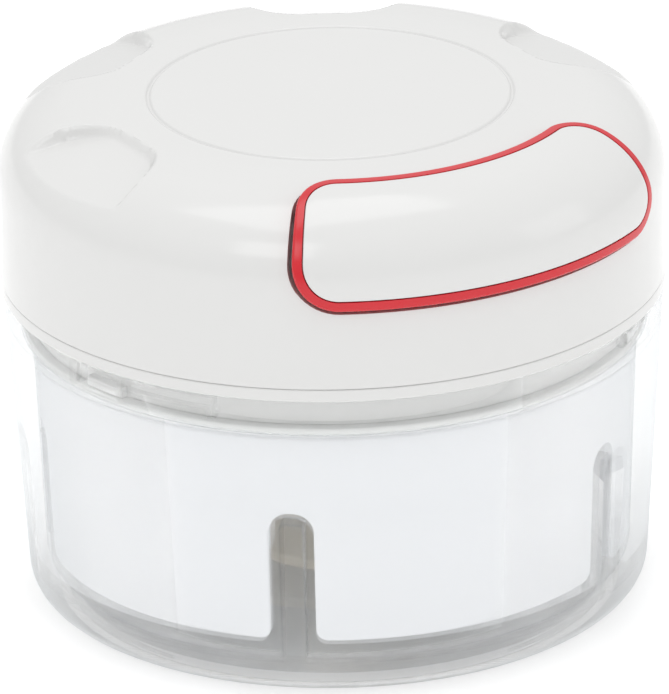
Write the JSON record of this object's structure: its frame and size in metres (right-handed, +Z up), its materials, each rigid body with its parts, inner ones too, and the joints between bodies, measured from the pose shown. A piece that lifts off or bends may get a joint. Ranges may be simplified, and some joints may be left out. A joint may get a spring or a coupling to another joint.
{
  "type": "hand-pulled food processor",
  "caption": "Small round chopper with a clear bowl, a domed lid with a cord-pull handle, a spring reel, a one-way clutch and curved blades.",
  "frame": {"origin": "centre of the bowl's foot, on the surface it stands on", "axes": "+Z up along the bowl's axis, pull handle towards -Y, +X to the right when the handle faces the user"},
  "size_m": [0.0928, 0.094, 0.0735],
  "materials": {
    "clear_bowl": "gloss, clear moulded plastic",
    "white_sleeve": "satin",
    "white_lid": "gloss",
    "red_frame": "gloss",
    "cream_plastic": "satin",
    "nylon": "matte",
    "seal": "matte silicone",
    "cord": "braided",
    "steel": "turned",
    "spring_steel": "blued",
    "blade_steel": "brushed",
    "brass": "turned"
  },
  "bodies": {
    "bowl": {"bowl": "clear_bowl", "bowl_pivot_pin": "steel", "bowl_liner": "white_sleeve"},
    "lid_seal": {"lid_seal": "seal"},
    "lid": {"lid_shell": "white_lid", "lid_base": "white_lid", "lid_screws": "steel", "cord_eyelet": "nylon", "cord_run": "cord", "spring_cup": "nylon", "spring_cover": "steel", "recoil_spring": "spring_steel", "hub_bearing_bush": "nylon"},
    "handle": {"handle_cover": "white_lid", "handle_frame": "red_frame", "cord_stopper": "brass", "pull_cord": "cord"},
    "reel": {"cord_reel": "nylon", "cord_winding": "cord", "ratchet_ring": "steel"},
    "hub": {"drive_hub": "cream_plastic", "pawl_pins": "steel", "pawl_springs": "spring_steel", "thrust_washer": "steel", "hub_circlip": "spring_steel"},
    "pawl_1": {"pawl_1": "steel"},
    "pawl_2": {"pawl_2": "steel"},
    "blades": {"blade_shaft": "cream_plastic", "blade_lower": "blade_steel", "blade_middle": "blade_steel", "blade_upper": "blade_steel", "pivot_bush": "brass"}
  },
  "joints": [
    {"name": "lid_lift", "type": "slide", "parent": "bowl", "child": "lid_seal", "axis": [0, 0, 1], "range_m": [0, 0.07]},
    {"name": "lid_twist", "type": "hinge", "parent": "lid_seal", "child": "lid", "pos_m": [0, 0, 0.045], "axis": [0, 0, 1], "range_deg": [0, 18]},
    {"name": "handle_pull", "type": "slide", "parent": "lid", "child": "handle", "axis": [0, -1, 0], "range_m": [0, 0.3], "stiffness_N_per_m": 10, "springref_m": -0.3},
    {"name": "reel_spin", "type": "hinge", "parent": "lid", "child": "reel", "pos_m": [0, 0, 0.063], "axis": [0, 0, 1], "continuous": true},
    {"name": "hub_spin", "type": "hinge", "parent": "lid", "child": "hub", "pos_m": [0, 0, 0.05], "axis": [0, 0, 1], "continuous": true},
    {"name": "blade_spin", "type": "hinge", "parent": "bowl", "child": "blades", "pos_m": [0, 0, 0.01], "axis": [0, 0, 1], "continuous": true},
    {"name": "pawl_1_swing", "type": "hinge", "parent": "hub", "child": "pawl_1", "pos_m": [0.00536, -0.0045, 0.0516], "axis": [0, 0, 1], "range_deg": [-12, 0], "stiffness_Nm_per_rad": 0.0005, "springref_deg": 5.73},
    {"name": "pawl_2_swing", "type": "hinge", "parent": "hub", "child": "pawl_2", "pos_m": [-0.00536, 0.0045, 0.0516], "axis": [0, 0, 1], "range_deg": [-12, 0], "stiffness_Nm_per_rad": 0.0005, "springref_deg": 5.73}
  ],
  "couplings": [
    {"joint": "reel_spin", "follows": "handle_pull", "rad_per_m": 69.93},
    {"joint": "hub_spin", "follows": "handle_pull", "rad_per_m": 69.93},
    {"joint": "blade_spin", "follows": "handle_pull", "rad_per_m": 69.93}
  ]
}
